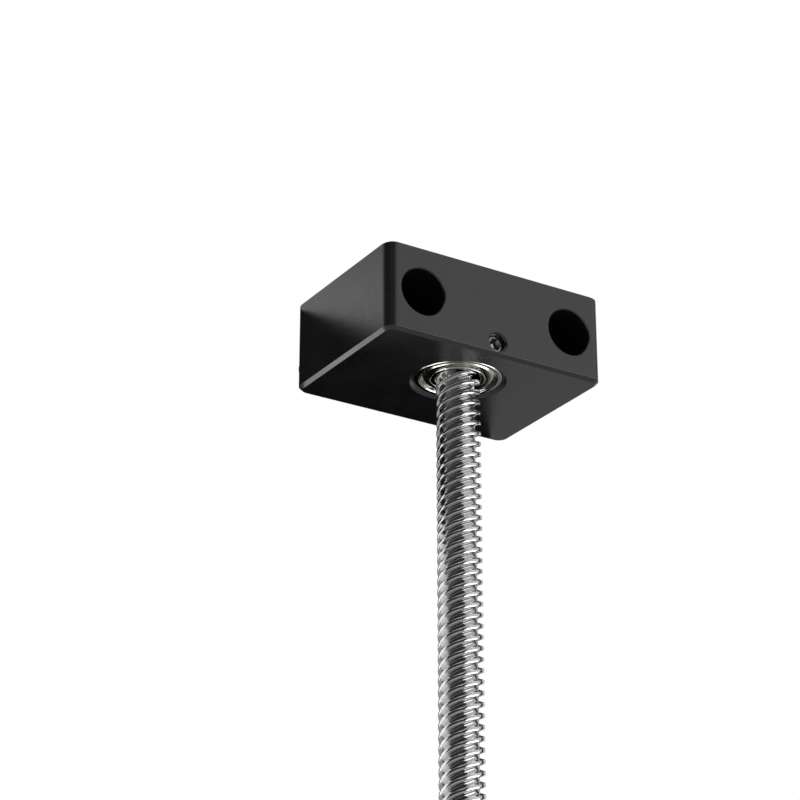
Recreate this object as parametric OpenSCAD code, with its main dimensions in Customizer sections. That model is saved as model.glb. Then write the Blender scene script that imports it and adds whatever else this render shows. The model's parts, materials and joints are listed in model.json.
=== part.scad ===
// Screw drive: a top bearing block, a four-start trapezoidal lead screw in a shielded
// ball bearing, a flanged nut, and a jaw coupling for the motor at the lower end.
// X runs across the block, +Y points at the rail that the block bolts to, and +Z runs
// up the screw. The origin is midway between the two mounting screws, on the block's
// back face. All sizes are in millimetres.

/* [Bearing block] */
// Width of the block, across X
block_w = 45.5; // [45:0.5:60]
// Depth of the block, from the back face to the front face
block_d = 32.5; // [32:0.5:40]
// Height of the block
block_h = 17; // [16:0.5:24]
// Radius of the four vertical edges
edge_r = 2.25; // [1:0.25:3]
// Chamfer along the lower edges
bottom_chamfer = 0.6; // [0.2:0.1:0.8]
// Chamfer along the upper edges
top_chamfer = 0.3; // [0.1:0.1:0.8]
// Distance from the back face to the screw's axis
screw_offset = 19.5; // [19:0.5:21]

/* [Mounting screws] */
// Distance between the two mounting screws
mount_spacing = 31; // [30:0.5:33]
// Diameter of the counterbores in the front face
counterbore_d = 8.8; // [8.8:0.1:9.4]
// Depth of the counterbores
counterbore_depth = 24; // [20:0.5:25]
// Diameter of the clearance holes behind the counterbores
clearance_d = 5.5; // [5.3:0.1:5.8]
// Length of the mounting screws under their heads
mount_screw_length = 16; // [14:1:20]

/* [Grub screw] */
// Diameter of the grub screw that holds the bearing
grub_d = 4; // [3:0.5:4]
// Length of the grub screw
grub_length = 4; // [3:0.5:4.5]
// Height of the grub screw's axis above the underside
grub_height = 2.6; // [2.4:0.1:3.2]

/* [Bearing] */
// Bore of the bearing, which is also the screw's diameter
bearing_bore = 8; // [7:0.5:8]
// Outside diameter of the bearing
bearing_d = 16; // [16:0.5:17]
// Width of the bearing
bearing_w = 5; // [5:0.5:6]
// Distance that the bearing sits inside the underside
bearing_recess = 0.4; // [0.2:0.1:0.8]
// Number of balls
ball_count = 9; // [6:1:9]
// Diameter of a ball
ball_d = 2; // [1.8:0.1:2]

/* [Lead screw] */
// Length of the lead screw
screw_length = 250; // [150:10:270]
// Travel of the thread in one turn
lead = 8; // [4:4:8]
// Number of thread starts
starts = 4; // [2:1:4]
// Depth of the thread
thread_depth = 1; // [0.6:0.1:1]
// Distance from the screw's upper end down to the middle of the nut
nut_drop = 127.75; // [60:0.25:130]

/* [Nut] */
// Diameter of the nut's flange
flange_d = 22; // [20:0.5:26]
// Thickness of the nut's flange
flange_t = 3.5; // [3:0.5:5]
// Diameter of the nut's barrel
barrel_d = 10.2; // [10.2:0.1:11]
// Length of the whole nut
nut_length = 15; // [12:0.5:20]
// Diameter of the circle through the flange holes
flange_pcd = 16; // [15.5:0.1:16.5]
// Diameter of the flange holes
flange_hole_d = 3.5; // [3:0.1:3.6]

/* [Coupling] */
// Diameter of the coupling
coupling_d = 20; // [20:0.5:25]
// Length of the whole coupling
coupling_length = 30; // [28:0.5:36]
// Length of each hub behind its jaws
hub_length = 10.5; // [10:0.5:11]
// Diameter of the motor shaft's bore
motor_bore = 5; // [4:0.5:6.5]

/* [Hidden] */

// Round surfaces are true circles at this setting.
$fn = 64;
// Overshoot of a cut past the face that it opens
eps = 0.1;
// Gap between two parts of one assembly that are pressed or screwed together
snug = 0.02;
// Chamfer of an edge that is left nearly sharp
sharp = 0.01;

// Finishes
anodised_black = [0.10, 0.10, 0.11];
black_oxide = [0.16, 0.16, 0.17];
bright_steel = [0.75, 0.76, 0.78];
ground_steel = [0.62, 0.63, 0.66];
shield_steel = [0.66, 0.65, 0.60];
brass_yellow = [0.80, 0.65, 0.30];
aluminium_grey = [0.78, 0.79, 0.81];
spider_red = [0.72, 0.12, 0.10];

// Block levels
block_top = block_h / 2;
block_bottom = -block_h / 2;
screw_y = -screw_offset;
mouth_chamfer = 0.2;
top_hole_d = 10;
top_hole_chamfer = 0.5;

// Cap screws: a waist under the head, then the thread at its outside diameter
head_edge = 0.3;
seat_edge = 0.05;
tip_chamfer = 0.4;
socket_share = 0.55;
mount_screw_d = 5;
mount_waist_d = 4.5;
mount_head_d = 8.5;
mount_head_h = 5;
mount_key = 4;

// Grub screw
grub_key = 2;
grub_socket_depth = 1.8;
grub_point = 0.7;
grub_rim = 0.2;

// Bearing levels, radii and clearances
bearing_r = bearing_d / 2;
bearing_z = block_bottom + bearing_recess + bearing_w / 2;
bearing_top = bearing_z + bearing_w / 2;
pocket_r = bearing_r + 0.01;
pocket_mouth_r = bearing_r + 0.75;
relief_r = bearing_r - 1.4;
relief_depth = 1;
pitch_r = (bearing_bore + bearing_d) / 4;
race_r = ball_d / 2 + 0.1;
inner_shoulder_r = pitch_r - 0.65;
inner_land_r = pitch_r - 1.05;
outer_shoulder_r = pitch_r + 0.65;
shield_seat_r = pitch_r + 1.05;
snap_groove_r = pitch_r + 1.3;
ring_chamfer = 0.3;
seat_mouth = 0.08;
land_edge = 0.1;
land_z = 1.5;
seat_z = 1.7;
shield_t = 0.25;
shield_rise = 0.33;
shield_slope = 0.15;
shield_edge = 0.1;
shield_step_r = pitch_r + 0.4;
shield_bore_r = pitch_r - 0.8;
snap_t = 0.3;
snap_inner_r = pitch_r + 0.85;
snap_gap_half = 6;
snap_gap_at = 104;

// Ball cage
cage_t = 0.25;
cage_half_width = 0.38;
cage_pocket_r = ball_d / 2 + 0.06;

// Lead screw
screw_top = block_top - 1.5;
screw_bottom = screw_top - screw_length;
crest_r = bearing_bore / 2 - 0.02;
thread_period = 360 / starts;
crest_share = 0.37;
flank_share = 0.13;
slices_per_turn = 10;

// Nut
nut_z = screw_top - nut_drop;
nut_boss = 1.5;
nut_bore_r = bearing_bore / 2 + 0.15;
nut_chamfer = 0.4;
flange_chamfer = 0.3;

// Coupling
screw_insert = 10;
coupling_top = screw_bottom + screw_insert;
jaw_zone = coupling_length - 2 * hub_length;
jaw_gap = 0.5;
jaw_inner_r = 4.6;
jaw_clearance = 0.1;
jaw_chamfer = 0.4;
spider_leg_half = 2.1;
spider_inset = 0.3;
spider_hub_r = 4.4;
spider_bore_r = 3;
hub_chamfer = 0.6;
slit_w = 1;
clamp_offset = 6.9;
clamp_seat = 1;
clamp_screw_d = 2.5;
clamp_waist_d = 2.2;
clamp_head_d = 4.5;
clamp_head_h = 2.5;
clamp_head_gap = 0.3;
clamp_length = 8;
clamp_key = 2;

// Outline of a plate of the given width and height, from z = -h / 2, with its lower
// and upper corners cut by the two chamfers.
module chamfered_outline(w, h, low, high) {
    polygon([
        [-w / 2 + low, -h / 2], [w / 2 - low, -h / 2],
        [w / 2, -h / 2 + low], [w / 2, h / 2 - high],
        [w / 2 - high, h / 2], [-w / 2 + high, h / 2],
        [-w / 2, h / 2 - high], [-w / 2, -h / 2 + low]
    ]);
}

// A round bar along Z from z = 0, with a chamfer at each end.
module chamfered_bar(r, length, low, high) {
    rotate_extrude()
        polygon([
            [0, 0], [r - low, 0], [r, low],
            [r, length - high], [r - high, length], [0, length]
        ]);
}

// The block before drilling: plates along X and Y, and a post at each rounded edge.
module block_blank() {
    inner_w = block_w - 2 * edge_r;
    inner_d = block_d - 2 * edge_r;
    translate([0, -block_d / 2, 0]) {
        rotate([90, 0, 0])
            linear_extrude(inner_d, center = true)
                chamfered_outline(block_w, block_h, bottom_chamfer, top_chamfer);
        rotate([90, 0, 90])
            linear_extrude(inner_w, center = true)
                chamfered_outline(block_d, block_h, bottom_chamfer, top_chamfer);
        for (x = [-1, 1], y = [-1, 1])
            translate([x * inner_w / 2, y * inner_d / 2, block_bottom])
                chamfered_bar(edge_r, block_h, bottom_chamfer, top_chamfer);
    }
}

// Counterbored hole through the block for one mounting screw, along Y.
module mount_hole() {
    translate([0, eps, 0])
        rotate([90, 0, 0])
            cylinder(d = clearance_d, h = block_d);
    translate([0, -block_d, 0])
        rotate([-90, 0, 0]) {
            cylinder(d = counterbore_d, h = counterbore_depth);
            translate([0, 0, -eps])
                cylinder(
                    r1 = counterbore_d / 2 + mouth_chamfer + eps,
                    r2 = counterbore_d / 2,
                    h = mouth_chamfer + eps
                );
        }
}

// Pocket for the bearing in the underside, with a relief above it and a hole to the top.
module bearing_pocket() {
    rotate_extrude()
        polygon([
            [0, block_bottom - eps], [pocket_mouth_r + eps, block_bottom - eps],
            [pocket_r, block_bottom + pocket_mouth_r - pocket_r],
            [pocket_r, bearing_top], [relief_r, bearing_top],
            [relief_r, bearing_top + relief_depth],
            [top_hole_d / 2, bearing_top + relief_depth],
            [top_hole_d / 2, block_top - top_hole_chamfer],
            [top_hole_d / 2 + top_hole_chamfer + eps, block_top + eps],
            [0, block_top + eps]
        ]);
}

module bearing_block() {
    color(anodised_black)
        difference() {
            block_blank();
            for (side = [-1, 1])
                translate([side * mount_spacing / 2, 0, 0])
                    mount_hole();
            translate([0, screw_y, 0])
                bearing_pocket();
            translate([0, screw_y, block_bottom + grub_height])
                rotate([90, 0, 0])
                    cylinder(d = grub_d, h = block_d);
        }
}

// Hexagonal socket for a key of the given width, from z = 0 up.
module hex_socket(key, depth) {
    cylinder(r = key / sqrt(3), h = depth, $fn = 6);
}

// Socket head cap screw along -Z: the head stands above z = 0 and the shank below it.
// The shank is waisted down to the length given as waist.
module cap_screw(d, waist_d, waist, length, head_d, head_h, key) {
    difference() {
        union() {
            chamfered_bar(head_d / 2, head_h, seat_edge, head_edge);
            translate([0, 0, -waist - eps])
                cylinder(d = waist_d, h = waist + 2 * eps);
            translate([0, 0, -length])
                chamfered_bar(d / 2, length - waist, tip_chamfer, sharp);
        }
        translate([0, 0, head_h * (1 - socket_share)])
            hex_socket(key, head_h);
    }
}

// Mounting screw on the side given as 1 or -1, waisted inside the block.
module mount_screw(side) {
    seat = block_d - counterbore_depth;
    color(black_oxide)
        translate([side * mount_spacing / 2, -seat, 0])
            rotate([90, 0, 0])
                cap_screw(
                    mount_screw_d, mount_waist_d, seat, mount_screw_length,
                    mount_head_d, mount_head_h, mount_key
                );
}

// Grub screw with a socket at its outer end and a cone point on the outer ring.
module bearing_grub_screw() {
    color(bright_steel)
        translate([0, screw_y - bearing_r - snug, block_bottom + grub_height])
            rotate([90, 0, 0])
                difference() {
                    chamfered_bar(grub_d / 2 - snug, grub_length, grub_point, grub_rim);
                    translate([0, 0, grub_length - grub_socket_depth])
                        hex_socket(grub_key, grub_length);
                }
}

// Places a bearing part at the bearing's centre.
module at_bearing() {
    translate([0, screw_y, bearing_z])
        children();
}

// Upper half of the outer ring's outline, from the balls round to the outside.
outer_ring_half = let (top = bearing_w / 2, snap_z = seat_z + shield_t) [
    [outer_shoulder_r, seat_z], [shield_seat_r, seat_z],
    [shield_seat_r, snap_z], [snap_groove_r, snap_z],
    [snap_groove_r, snap_z + snap_t], [shield_seat_r, snap_z + snap_t],
    [shield_seat_r, top - seat_mouth], [shield_seat_r + seat_mouth, top],
    [bearing_r - ring_chamfer, top], [bearing_r, top - ring_chamfer]
];

// Upper half of the inner ring's outline, from the balls round to the bore.
inner_ring_half = let (top = bearing_w / 2, bore_r = bearing_bore / 2) [
    [inner_shoulder_r, land_z], [inner_land_r, land_z],
    [inner_land_r, top - land_edge], [inner_land_r - land_edge, top],
    [bore_r + ring_chamfer, top], [bore_r, top - ring_chamfer]
];

// A race ring from the upper half of its outline, less the ball groove.
module race_ring(half) {
    lower = [for (i = [len(half) - 1:-1:0]) [half[i].x, -half[i].y]];
    color(ground_steel)
        at_bearing()
            rotate_extrude()
                difference() {
                    polygon(concat(half, lower));
                    translate([pitch_r, 0])
                        circle(race_r);
                }
}

// Pressed steel shield with a raised middle, on the side given as 1 or -1.
module bearing_shield(side) {
    z0 = seat_z + snug;
    z1 = seat_z + shield_t - snug;
    color(shield_steel)
        at_bearing()
            mirror([0, 0, side < 0 ? 1 : 0])
                rotate_extrude()
                    polygon([
                        [shield_seat_r - snug, z0], [shield_seat_r - snug, z1],
                        [shield_step_r + shield_slope, z1],
                        [shield_step_r, z1 + shield_rise],
                        [shield_bore_r + shield_edge, z1 + shield_rise],
                        [shield_bore_r, z1 + shield_rise - shield_edge],
                        [shield_bore_r, z0 + shield_rise],
                        [shield_step_r - shield_slope, z0 + shield_rise],
                        [shield_step_r, z0]
                    ]);
}

// Open wire ring that holds a shield in the outer ring's groove.
module shield_snap_ring(side) {
    z0 = seat_z + shield_t + snug;
    color(bright_steel)
        at_bearing()
            mirror([0, 0, side < 0 ? 1 : 0])
                rotate([0, 0, snap_gap_at + snap_gap_half])
                    rotate_extrude(angle = 360 - 2 * snap_gap_half)
                        translate([snap_inner_r, z0])
                            square([snap_groove_r - snap_inner_r - snug, snap_t - 2 * snug]);
}

// Places a part at the centre of ball i, counted from 1.
module at_ball(i) {
    at_bearing()
        rotate([0, 0, 360 * (i - 1) / ball_count])
            translate([pitch_r, 0, 0])
                children();
}

module bearing_ball(i) {
    color(bright_steel)
        at_ball(i)
            sphere(d = ball_d);
}

// Ribbon cage half: flat between the balls and domed over each one.
module cage_half(side) {
    color(brass_yellow)
        intersection() {
            difference() {
                union() {
                    at_bearing()
                        translate([0, 0, side * (cage_t / 2 + snug)])
                            cylinder(r = bearing_r, h = cage_t, center = true);
                    for (i = [1:ball_count])
                        at_ball(i)
                            sphere(r = cage_pocket_r + cage_t);
                }
                for (i = [1:ball_count])
                    at_ball(i)
                        sphere(r = cage_pocket_r);
            }
            at_bearing()
                translate([0, 0, side * (bearing_w / 4 + snug)])
                    difference() {
                        cylinder(r = pitch_r + cage_half_width, h = bearing_w / 2, center = true);
                        cylinder(r = pitch_r - cage_half_width, h = bearing_w, center = true);
                    }
        }
}

// Cross-section of the thread: one crest and one groove for each start.
module thread_section() {
    crest_half = thread_period * crest_share / 2;
    root_half = crest_half + thread_period * flank_share;
    root_r = crest_r - thread_depth;
    polygon([
        for (start = [0:starts - 1], corner = [
            [crest_r, -crest_half], [crest_r, crest_half],
            [root_r, root_half], [root_r, thread_period - root_half]
        ])
            let (a = start * thread_period + corner[1])
                corner[0] * [cos(a), sin(a)]
    ]);
}

module lead_screw() {
    color(bright_steel)
        translate([0, screw_y, screw_bottom])
            linear_extrude(
                screw_length,
                twist = -360 * screw_length / lead,
                slices = round(slices_per_turn * screw_length / lead),
                $fn = 4 * starts
            )
                thread_section();
}

// Flanged nut with a short boss above the flange and a long barrel below it.
module lead_screw_nut() {
    flange_top = nut_length / 2 - nut_boss;
    color(brass_yellow)
        translate([0, screw_y, nut_z])
            difference() {
                union() {
                    translate([0, 0, -nut_length / 2])
                        chamfered_bar(barrel_d / 2, nut_length, nut_chamfer, nut_chamfer);
                    translate([0, 0, flange_top - flange_t])
                        chamfered_bar(flange_d / 2, flange_t, flange_chamfer, flange_chamfer);
                }
                cylinder(r = nut_bore_r, h = nut_length + 1, center = true);
                for (a = [45:90:315])
                    rotate([0, 0, a])
                        translate([flange_pcd / 2, 0, flange_top - flange_t / 2])
                            cylinder(d = flange_hole_d, h = flange_t + 1, center = true);
            }
}

// Jaws and hub of one coupling half, with the jaws up and the open end at z = 0.
module coupling_hub(bore_r) {
    jaw_top = hub_length + jaw_zone - jaw_gap;
    difference() {
        union() {
            chamfered_bar(coupling_d / 2, hub_length, hub_chamfer, sharp);
            intersection() {
                difference() {
                    chamfered_bar(coupling_d / 2, jaw_top, hub_chamfer, jaw_chamfer);
                    cylinder(r = jaw_inner_r, h = coupling_length);
                }
                jaw_quadrants(jaw_top);
            }
        }
        translate([0, 0, -eps])
            cylinder(r = bore_r, h = hub_length + 1);
        translate([-slit_w / 2, -coupling_d, -eps])
            cube([slit_w, coupling_d, hub_length + 2 * eps]);
        clamp_hole();
    }
}

// Two opposite quadrants, cut back to leave room for the spider's legs.
module jaw_quadrants(top) {
    room = spider_leg_half + jaw_clearance;
    for (a = [0, 180])
        rotate([0, 0, a])
            translate([room, room, hub_length - 1])
                cube([coupling_d, coupling_d, top - hub_length + 1]);
}

// Hole for the clamp screw across the hub's slit, along X, with a seat for its head.
module clamp_hole() {
    translate([0, -clamp_offset, hub_length / 2])
        rotate([0, 90, 0]) {
            cylinder(d = clamp_screw_d + 2 * snug, h = coupling_d, center = true);
            translate([0, 0, slit_w / 2 + clamp_seat])
                cylinder(d = clamp_head_d + clamp_head_gap, h = coupling_d);
        }
}

module clamp_screw() {
    translate([slit_w / 2 + clamp_seat, -clamp_offset, hub_length / 2])
        rotate([0, 90, 0])
            cap_screw(
                clamp_screw_d, clamp_waist_d, clamp_seat + slit_w, clamp_length,
                clamp_head_d, clamp_head_h, clamp_key
            );
}

// Places a coupling half at the screw's end, turned over so that its jaws point down.
module at_upper_hub() {
    translate([0, screw_y, coupling_top])
        rotate([180, 0, 0])
            children();
}

// Places a coupling half at the motor's end.
module at_lower_hub() {
    translate([0, screw_y, coupling_top - coupling_length])
        children();
}

module coupling_upper_hub() {
    color(aluminium_grey)
        at_upper_hub()
            coupling_hub(bearing_bore / 2);
}

module coupling_lower_hub() {
    color(aluminium_grey)
        at_lower_hub()
            coupling_hub(motor_bore / 2);
}

module coupling_upper_clamp_screw() {
    color(black_oxide)
        at_upper_hub()
            clamp_screw();
}

module coupling_lower_clamp_screw() {
    color(black_oxide)
        at_lower_hub()
            clamp_screw();
}

// Rubber spider with four legs between the jaws.
module coupling_spider() {
    thickness = jaw_zone - 2 * jaw_gap;
    leg_end = coupling_d / 2 - spider_leg_half - spider_inset;
    color(spider_red)
        translate([0, screw_y, coupling_top - coupling_length / 2])
            linear_extrude(thickness, center = true)
                difference() {
                    union() {
                        circle(spider_hub_r);
                        for (a = [0:90:270])
                            rotate([0, 0, a]) {
                                translate([0, -spider_leg_half])
                                    square([leg_end, 2 * spider_leg_half]);
                                translate([leg_end, 0])
                                    circle(spider_leg_half);
                            }
                    }
                    circle(spider_bore_r);
                }
}

bearing_block();
mount_screw(-1);  // left_mount_screw
mount_screw(1);  // right_mount_screw
bearing_grub_screw();
race_ring(outer_ring_half);  // bearing_outer_ring
race_ring(inner_ring_half);  // bearing_inner_ring
bearing_shield(-1);  // bearing_shield_lower
bearing_shield(1);  // bearing_shield_upper
shield_snap_ring(-1);  // shield_snap_ring_lower
shield_snap_ring(1);  // shield_snap_ring_upper
cage_half(-1);  // cage_half_lower
cage_half(1);  // cage_half_upper
lead_screw();
lead_screw_nut();
coupling_upper_hub();
coupling_lower_hub();
coupling_spider();
coupling_upper_clamp_screw();
coupling_lower_clamp_screw();
for (i = [1:ball_count])
    bearing_ball(i);
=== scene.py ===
import json
import math

import bmesh
import bpy
from mathutils import Matrix, Vector


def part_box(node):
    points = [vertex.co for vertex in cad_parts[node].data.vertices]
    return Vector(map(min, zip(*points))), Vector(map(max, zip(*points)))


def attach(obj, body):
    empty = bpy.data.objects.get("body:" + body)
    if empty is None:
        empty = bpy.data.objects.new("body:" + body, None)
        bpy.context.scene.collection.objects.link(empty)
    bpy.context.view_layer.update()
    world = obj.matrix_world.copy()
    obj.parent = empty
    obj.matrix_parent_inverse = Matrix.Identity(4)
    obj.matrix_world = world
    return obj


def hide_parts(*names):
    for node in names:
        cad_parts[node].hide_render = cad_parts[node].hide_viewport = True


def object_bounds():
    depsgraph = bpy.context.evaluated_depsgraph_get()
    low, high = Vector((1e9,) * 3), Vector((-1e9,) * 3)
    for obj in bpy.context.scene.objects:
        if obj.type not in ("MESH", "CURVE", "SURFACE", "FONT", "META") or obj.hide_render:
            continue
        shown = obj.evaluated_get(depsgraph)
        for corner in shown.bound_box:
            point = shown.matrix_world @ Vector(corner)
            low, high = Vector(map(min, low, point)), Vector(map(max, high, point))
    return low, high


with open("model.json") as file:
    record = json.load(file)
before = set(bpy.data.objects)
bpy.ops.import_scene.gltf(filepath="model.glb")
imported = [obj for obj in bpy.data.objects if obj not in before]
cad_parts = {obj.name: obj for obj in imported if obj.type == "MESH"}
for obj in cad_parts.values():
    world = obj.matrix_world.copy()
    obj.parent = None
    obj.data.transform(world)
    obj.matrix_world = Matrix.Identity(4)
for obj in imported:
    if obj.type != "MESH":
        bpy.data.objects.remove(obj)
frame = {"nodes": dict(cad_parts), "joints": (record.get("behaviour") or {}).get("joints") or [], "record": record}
cad_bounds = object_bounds()

# Shapes are worked out in millimetres and scaled to metres when a mesh is made.
MM = 0.001
TAU = 2 * math.pi


# ---------------------------------------------------------------- sizes from the frame

def box_mm(node):
    """Lowest and highest corner of a CAD node at rest, in millimetres."""
    low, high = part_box(node)
    return low / MM, high / MM


def joint(name):
    return next(j for j in frame["joints"] if j["name"] == name)


def ratio_of(name):
    couplings = frame["record"]["behaviour"]["couplings"]
    return next(c["ratio"] for c in couplings if c["joint"] == name)


AXIS = Vector(joint("screw_spin")["pos_m"]) / MM
LEAD = abs(ratio_of("nut_travel")) * TAU / MM
STARTS = 4
BLOCK = box_mm("bearing_block")
RING = box_mm("bearing_outer_ring")
SCREW = box_mm("lead_screw")
NUT = box_mm("lead_screw_nut")
UPPER_HUB = box_mm("coupling_upper_hub")
LOWER_HUB = box_mm("coupling_lower_hub")
SPIDER = box_mm("coupling_spider")
GRUB = box_mm("bearing_grub_screw")

THREAD_PITCH = LEAD / STARTS
THREAD_DEPTH = 1.0
SCREW_CREST = (SCREW[1].x - SCREW[0].x) / 2
SCREW_ROOT = SCREW_CREST - THREAD_DEPTH


def middle_of(box):
    """The middle of a box given by its lowest and highest corner."""
    low, high = box
    return (low.x + high.x) / 2, (low.y + high.y) / 2, (low.z + high.z) / 2


# ---------------------------------------------------------------- outlines

# Half of the angle at a corner that is too straight to round
NEARLY_STRAIGHT = math.radians(88)
# Share of an edge that one corner's arc may take
EDGE_SHARE = 0.48
# Divisor that limits how far inset moves a very sharp corner
LEAST_STRETCH = 0.3


def on_circle(radius, angle):
    return Vector((math.cos(angle), math.sin(angle))) * radius


def rounded(points, radius, steps=4, closed=True):
    """The outline with each corner turned into an arc. radius is one number or one a corner.
    A corner that is nearly straight stays as it is, and no arc takes half of an edge."""
    out = []
    count = len(points)
    for i, corner in enumerate(points):
        here = Vector(corner)
        size = radius[i] if isinstance(radius, (list, tuple)) else radius
        if size == 0 or (not closed and i in (0, count - 1)):
            out.append(here)
            continue
        back = Vector(points[i - 1]) - here
        ahead = Vector(points[(i + 1) % count]) - here
        half = back.angle(ahead) / 2
        if half > NEARLY_STRAIGHT:
            out.append(here)
            continue
        reach = min(size / math.tan(half), EDGE_SHARE * back.length, EDGE_SHARE * ahead.length)
        back.normalize()
        ahead.normalize()
        centre = here + (back + ahead).normalized() * (reach / math.cos(half))
        first = here + back * reach - centre
        last = here + ahead * reach - centre
        start = math.atan2(first.y, first.x)
        sweep = math.remainder(math.atan2(last.y, last.x) - start, TAU)
        for k in range(steps + 1):
            angle = start + sweep * k / steps
            out.append(centre + on_circle(first.length, angle))
    return out


def inset(points, amount):
    """The anticlockwise outline moved inwards along each corner's bisector."""
    out = []
    count = len(points)
    for i, here in enumerate(points):
        back = (here - points[i - 1]).normalized()
        ahead = (points[(i + 1) % count] - here).normalized()
        inward = Vector((-back.y - ahead.y, back.x + ahead.x))
        stretch = max(1 + back.dot(ahead), LEAST_STRETCH)
        out.append(here + inward * (amount / stretch))
    return out


# ---------------------------------------------------------------- meshes

# A point of a turned outline that is nearer to the axis than this lies on it
ON_AXIS = 1e-6
# Faces that meet at a larger angle than this keep a crisp edge
SHARP_ANGLE = math.radians(32)


def piece_from(name, bm):
    """An object from a bmesh in millimetres, with its normals facing out."""
    bmesh.ops.remove_doubles(bm, verts=bm.verts, dist=1e-5)
    bmesh.ops.dissolve_degenerate(bm, edges=bm.edges, dist=1e-6)
    bmesh.ops.recalc_face_normals(bm, faces=bm.faces)
    bmesh.ops.scale(bm, verts=bm.verts, vec=(MM, MM, MM))
    mesh = bpy.data.meshes.new(name)
    bm.to_mesh(mesh)
    bm.free()
    obj = bpy.data.objects.new(name, mesh)
    bpy.context.scene.collection.objects.link(obj)
    return obj


def loft(name, rings, place=Matrix.Identity(4)):
    """Rings of equal count joined by quads, with a flat cap on each end."""
    bm = bmesh.new()
    rows = [[bm.verts.new(place @ Vector(p)) for p in ring] for ring in rings]
    count = len(rings[0])
    for lower, upper in zip(rows, rows[1:]):
        for i in range(count):
            j = (i + 1) % count
            bm.faces.new((lower[i], lower[j], upper[j], upper[i]))
    bm.faces.new(rows[0][::-1])
    bm.faces.new(rows[-1])
    return piece_from(name, bm)


def lathe(name, outline, place, segments=160):
    """A closed outline of (radius, height) points turned about the Z axis of place."""
    bm = bmesh.new()
    columns = []
    for i in range(segments):
        c, s = math.cos(TAU * i / segments), math.sin(TAU * i / segments)
        columns.append([bm.verts.new(place @ Vector((p[0] * c, p[0] * s, p[1]))) for p in outline])
    count = len(outline)
    for i, column in enumerate(columns):
        following = columns[(i + 1) % segments]
        for j in range(count):
            k = (j + 1) % count
            if outline[j][0] < ON_AXIS and outline[k][0] < ON_AXIS:
                continue
            bm.faces.new((column[j], following[j], following[k], column[k]))
    return piece_from(name, bm)


def plate(name, outline, z0, z1, low=0.0, high=0.0, place=Matrix.Identity(4)):
    """The outline extruded from z0 to z1, with its lower and upper edges rounded over."""
    steps = 4
    turns = [math.pi / 2 * k / steps for k in range(steps + 1)]
    foot = [(z0 + low * (1 - math.cos(a)), low * (1 - math.sin(a))) for a in turns]
    head = [(z1 - high * (1 - math.sin(a)), high * (1 - math.cos(a))) for a in turns]
    levels = (foot if low else [(z0, 0)]) + (head if high else [(z1, 0)])
    rings = []
    for z, amount in levels:
        rings.append([(p.x, p.y, z) for p in inset(outline, amount)])
    return loft(name, rings, place)


def evaluated_copy(obj):
    """Gives obj the mesh that its modifiers make, and removes them."""
    graph = bpy.context.evaluated_depsgraph_get()
    mesh = bpy.data.meshes.new_from_object(obj.evaluated_get(graph))
    obj.modifiers.clear()
    old = obj.data
    obj.data = mesh
    bpy.data.meshes.remove(old)


def combine(obj, tools, operation="DIFFERENCE"):
    """Cuts the tools from obj, or joins them to it, and removes the tools."""
    for tool in tools:
        change = obj.modifiers.new("combine", "BOOLEAN")
        change.object = tool
        change.operation = operation
        change.solver = "EXACT"
    evaluated_copy(obj)
    for tool in tools:
        mesh = tool.data
        bpy.data.objects.remove(tool)
        bpy.data.meshes.remove(mesh)
    return obj


def shade(obj):
    """Smooth faces with crisp edges, and normals that keep the flat faces flat."""
    bm = bmesh.new()
    bm.from_mesh(obj.data)
    bmesh.ops.remove_doubles(bm, verts=bm.verts, dist=1e-8)
    for face in bm.faces:
        face.smooth = True
    for edge in bm.edges:
        edge.smooth = len(edge.link_faces) == 2 and edge.calc_face_angle(0.0) < SHARP_ANGLE
    bm.to_mesh(obj.data)
    bm.free()
    weigh = obj.modifiers.new("flat_faces", "WEIGHTED_NORMAL")
    weigh.keep_sharp = True
    weigh.weight = 80


def paint(obj, slot):
    """Gives obj the material of a slot, and no other."""
    obj.data.materials.clear()
    obj.data.materials.append(MATERIALS[slot])


def settle(obj, body, node, slot):
    """Puts a finished piece in the frame: shades it, gives it its slot's material, hangs it on the body it rides
    on and hides the CAD node it stands for.
    """
    shade(obj)
    paint(obj, slot)
    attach(obj, body)
    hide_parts(node)


def at(x, y, z):
    return Matrix.Translation((x, y, z))


def facing_front(x, y, z):
    """A place whose Z axis points to the front, along -Y."""
    return at(x, y, z) @ Matrix.Rotation(math.pi / 2, 4, "X")


# ---------------------------------------------------------------- threads

def thread_rings(profile, starts, pitch, z0, z1, steps_a_turn, limit=None):
    """Rings of a right-hand thread. profile is one period of (share of the pitch, radius)
    and limit(z) is the largest radius at a height, which makes the end chamfers."""
    lead = pitch * starts
    count = max(2, math.ceil((z1 - z0) / lead * steps_a_turn))
    rings = []
    for k in range(count + 1):
        z = z0 + (z1 - z0) * k / count
        cap = limit(z) if limit else math.inf
        ring = []
        for start in range(starts):
            for share, radius in profile:
                angle = TAU * ((start + share) / starts + z / lead)
                r = min(radius, cap)
                ring.append((r * math.cos(angle), r * math.sin(angle), z))
        rings.append(ring)
    return rings


def trapezoid_profile(crest_r, root_r, pitch, crest_w, root_w, crown=0.0):
    """One period of a trapezoidal thread. Its corners are rounded, and the crest is
    lower at its edges than in its middle by crown."""
    soft = 0.12
    flank = (pitch - crest_w - root_w) / 2
    half = crest_w / 2
    top = [(half * s, crest_r - crown * s * s) for s in (-1, -0.6, -0.2, 0.2, 0.6, 1)]
    corners = [
        (-half - flank - root_w / 2, root_r), (-half - flank, root_r), *top,
        (half + flank, root_r), (half + flank + root_w / 2, root_r),
    ]
    radii = [0, soft, soft, 0, 0, 0, 0, soft, soft, 0]
    line = rounded(corners, radii, steps=3, closed=False)
    return [(p.x / pitch, p.y) for p in line[:-1]]


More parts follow.
